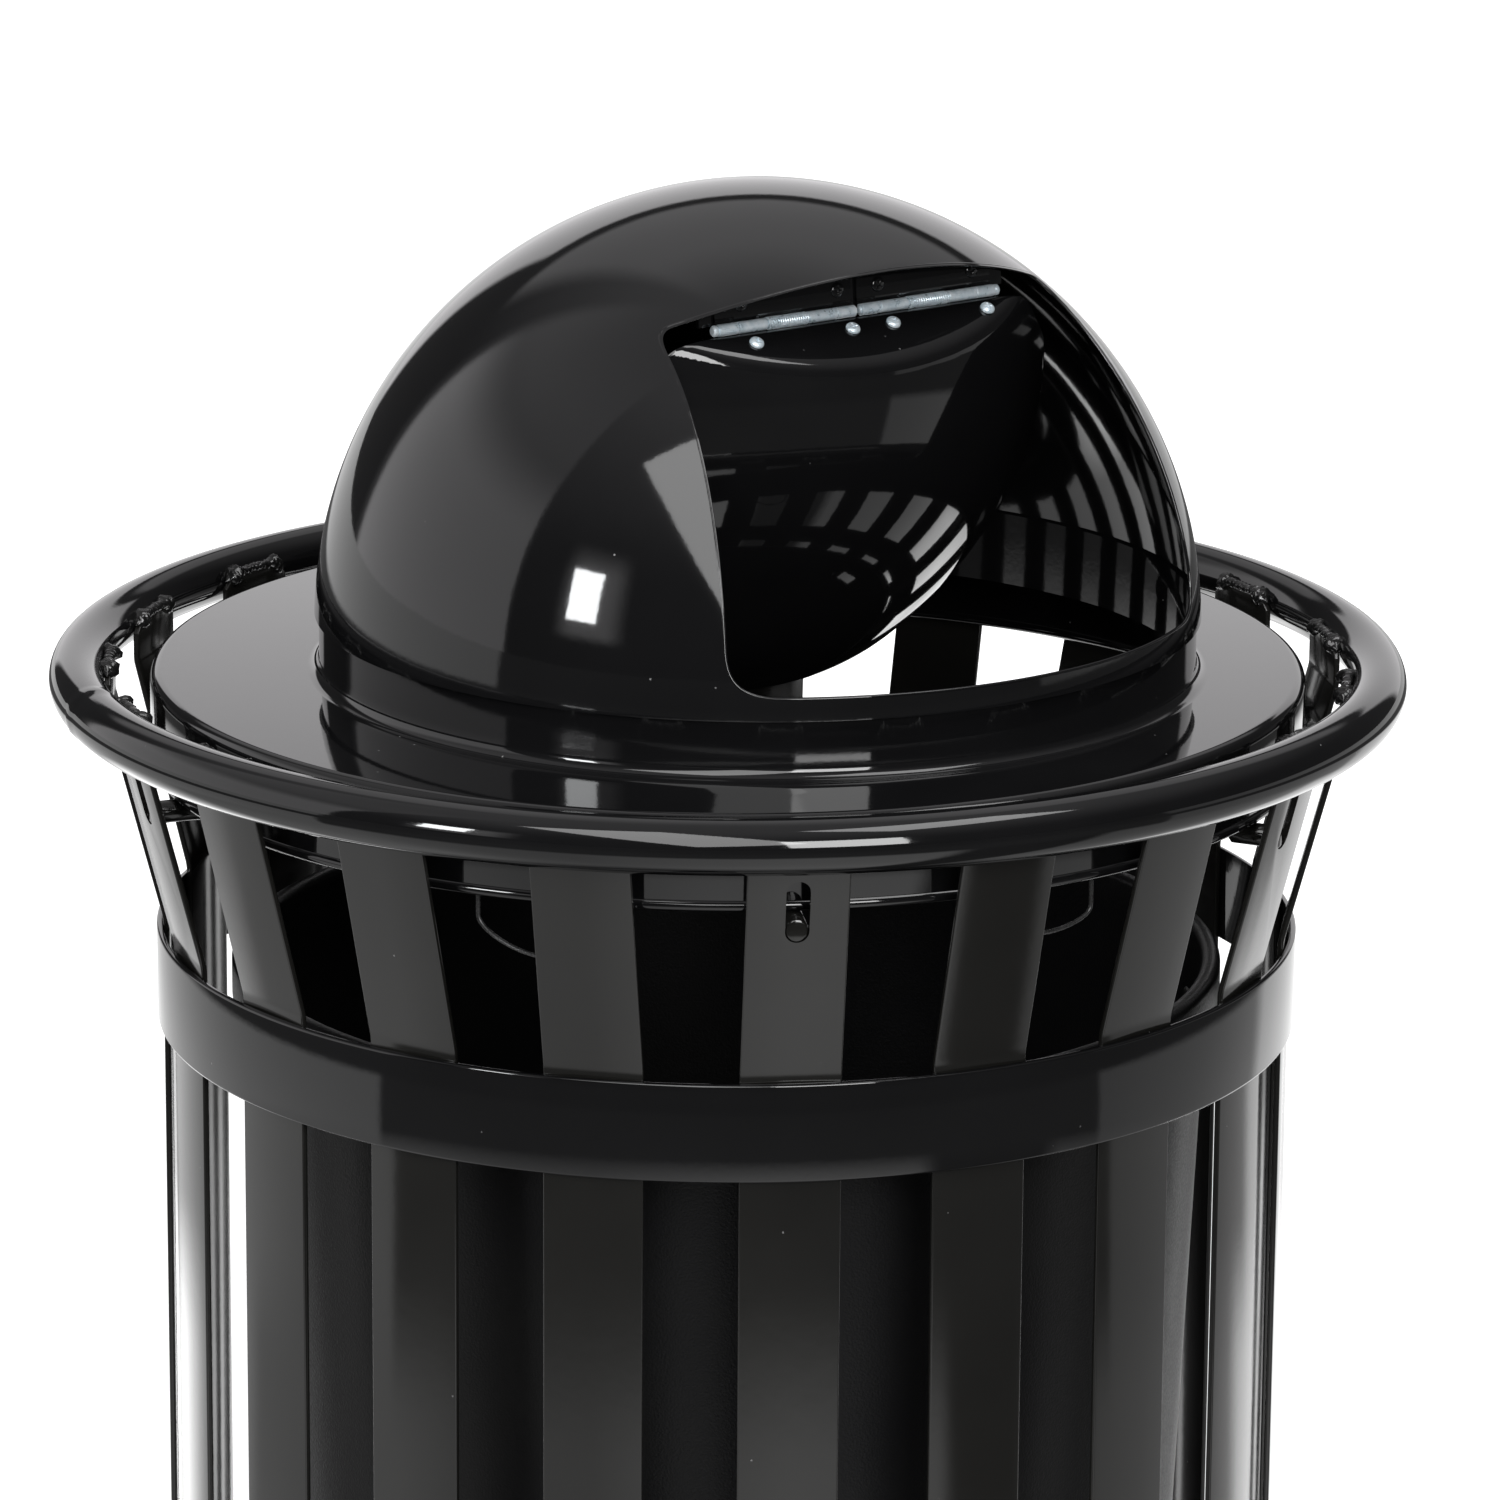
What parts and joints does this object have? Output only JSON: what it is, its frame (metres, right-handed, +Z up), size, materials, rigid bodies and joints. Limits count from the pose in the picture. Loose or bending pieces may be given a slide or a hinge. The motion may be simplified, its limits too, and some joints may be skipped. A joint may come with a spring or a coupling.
{
  "type": "litter bin",
  "caption": "Round slatted steel litter bin with a flared tube rim, a lift-off domed lid with a sprung push flap, and a black plastic liner.",
  "frame": {"origin": "on the bin's axis, at the floor under the levelling feet", "axes": "+Z up, the flap door faces -Y, +X is to the right as seen by someone facing the door, along the flap hinge"},
  "size_m": [0.7111, 0.7112, 1.1095],
  "materials": {
    "black_gloss_paint": "gloss powder coat",
    "black_slat_paint": "satin gloss powder coat",
    "zinc": "bright zinc plate",
    "cable_vinyl": "vinyl-coated wire rope",
    "liner_plastic": "pebbled black plastic"
  },
  "bodies": {
    "bin_body": {"rim_tube": "black_gloss_paint", "plain_slats": "black_slat_paint", "slotted_slats": "black_slat_paint", "upper_band": "black_gloss_paint", "lower_band": "black_gloss_paint", "base_hoop": "black_slat_paint", "base_plate": "black_slat_paint", "foot_nuts": "zinc", "lock_nuts": "zinc", "levelling_feet": "zinc", "lid_rest_pins": "black_slat_paint", "rim_welds": "black_gloss_paint", "slat_ferrules": "zinc"},
    "lid": {"lid_pan": "black_gloss_paint", "dome_shell": "black_gloss_paint", "hinge_strip": "black_gloss_paint", "fixed_leaves": "black_gloss_paint", "hinge_pins": "zinc", "hinge_springs": "zinc", "strip_screws": "zinc", "strip_nuts": "zinc", "tether_cables": "cable_vinyl", "lid_ferrules": "zinc", "lid_lugs": "black_gloss_paint"},
    "flap": {"flap_panel": "black_gloss_paint", "flap_leaves": "black_gloss_paint", "flap_screws": "zinc", "flap_nuts": "zinc"},
    "liner_tub": {"liner": "liner_plastic"}
  },
  "joints": [
    {"name": "lid_lift", "type": "slide", "parent": "bin_body", "child": "lid", "axis": [0, 0, 1], "range_m": [0, 0.75], "deforming": ["tether_cables"]},
    {"name": "liner_lift", "type": "slide", "parent": "bin_body", "child": "liner_tub", "axis": [0, 0, 1], "range_m": [0, 0.85]},
    {"name": "flap_swing", "type": "hinge", "parent": "lid", "child": "flap", "pos_m": [0.012, -0.092, 1.056], "axis": [1, 0, 0], "range_deg": [-59, 25], "stiffness_Nm_per_rad": 0.6, "springref_deg": -59}
  ],
  "couplings": [
    {"joint": "liner_lift", "follows": "lid_lift", "ratio": 1.12}
  ]
}
